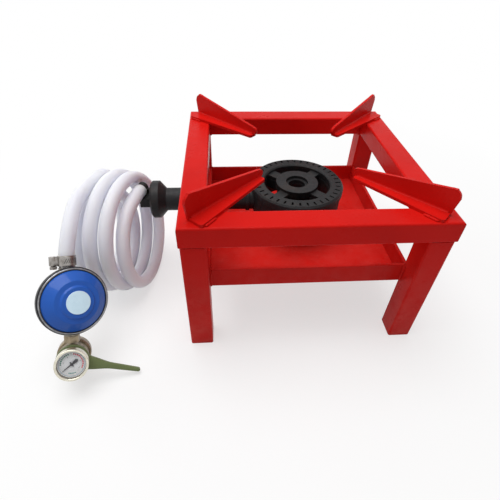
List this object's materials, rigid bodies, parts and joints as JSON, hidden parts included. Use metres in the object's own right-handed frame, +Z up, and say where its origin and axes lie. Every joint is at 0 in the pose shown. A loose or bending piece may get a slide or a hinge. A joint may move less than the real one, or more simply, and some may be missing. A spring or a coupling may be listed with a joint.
{
  "type": "propane burner stand",
  "caption": "Low square-tube gas ring stand with a cast ring burner, folded pot supports, a coiled hose and a diaphragm regulator with gauge and lever.",
  "frame": {"origin": "on the floor, under the middle of the stand together with its inlet and jet holder, the hose and regulator left out", "axes": "+Z up, +Y towards the back of the stand, +X to its right, away from the gas inlet"},
  "size_m": [0.3852, 0.305, 0.188],
  "materials": {
    "red_paint": "gloss enamel over welded steel",
    "cast_iron": "black, slightly rough",
    "zinc_steel": "zinc plated",
    "brass": "turned brass",
    "hose": "white, smooth, slightly glossy",
    "blue_paint": "gloss enamel",
    "crimp_steel": "rolled steel ring",
    "seal_rubber": "black",
    "plate_aluminium": "pale blank disc",
    "die_cast_zinc": "bare die casting, dull",
    "olive_paint": "olive green enamel",
    "chrome": "bright plating",
    "dial": "printed scale",
    "needle": "black",
    "window": "clear"
  },
  "bodies": {
    "stand": {"rail_front": "red_paint", "rail_rear": "red_paint", "rail_left": "red_paint", "rail_right": "red_paint", "leg_front_left": "red_paint", "leg_front_right": "red_paint", "leg_rear_left": "red_paint", "leg_rear_right": "red_paint", "foot_plates": "red_paint", "tray_bar_front": "red_paint", "tray_bar_rear": "red_paint", "tray_bar_left": "red_paint", "tray_bar_right": "red_paint", "tray_floor": "red_paint", "pot_support_front_left": "red_paint", "pot_support_front_right": "red_paint", "pot_support_rear_left": "red_paint", "pot_support_rear_right": "red_paint", "leg_welds": "red_paint", "tray_welds": "red_paint", "support_welds": "red_paint", "burner_body": "cast_iron", "burner_bolts": "zinc_steel", "jet_holder": "cast_iron", "gas_jet": "brass", "hose_coil": "hose", "hose_lead": "hose", "clamp_band": "zinc_steel", "clamp_screw": "zinc_steel", "regulator_bowl": "die_cast_zinc", "regulator_cap": "blue_paint", "crimp_ring": "crimp_steel", "diaphragm": "seal_rubber", "diaphragm_plate": "zinc_steel", "regulator_spring": "zinc_steel", "cap_disc": "plate_aluminium", "outlet_collar": "die_cast_zinc", "inlet_pipe": "die_cast_zinc", "inlet_nut": "die_cast_zinc", "adaptor_body": "die_cast_zinc", "socket_ring": "brass", "socket_seal": "seal_rubber", "gauge_stem": "die_cast_zinc", "gauge_case": "chrome", "gauge_dial": "dial", "gauge_glass": "window", "gauge_bezel": "chrome"},
    "loose_ring": {"burner_ring": "cast_iron"},
    "lever_arm": {"lever": "olive_paint"},
    "needle": {"gauge_needle": "needle"}
  },
  "joints": [
    {"name": "ring_lift", "type": "slide", "parent": "stand", "child": "loose_ring", "axis": [0, 0, 1], "range_m": [0, 0.04]},
    {"name": "lever_turn", "type": "hinge", "parent": "stand", "child": "lever_arm", "pos_m": [-0.20432, -0.1583, 0.03036], "axis": [0.2954, -0.75, 0.5918], "range_deg": [0, 50]},
    {"name": "needle_turn", "type": "hinge", "parent": "stand", "child": "needle", "pos_m": [-0.20063, -0.16767, 0.03775], "axis": [0.2954, -0.75, 0.5918], "range_deg": [-250, 0], "stiffness_Nm_per_rad": 0.0005}
  ]
}
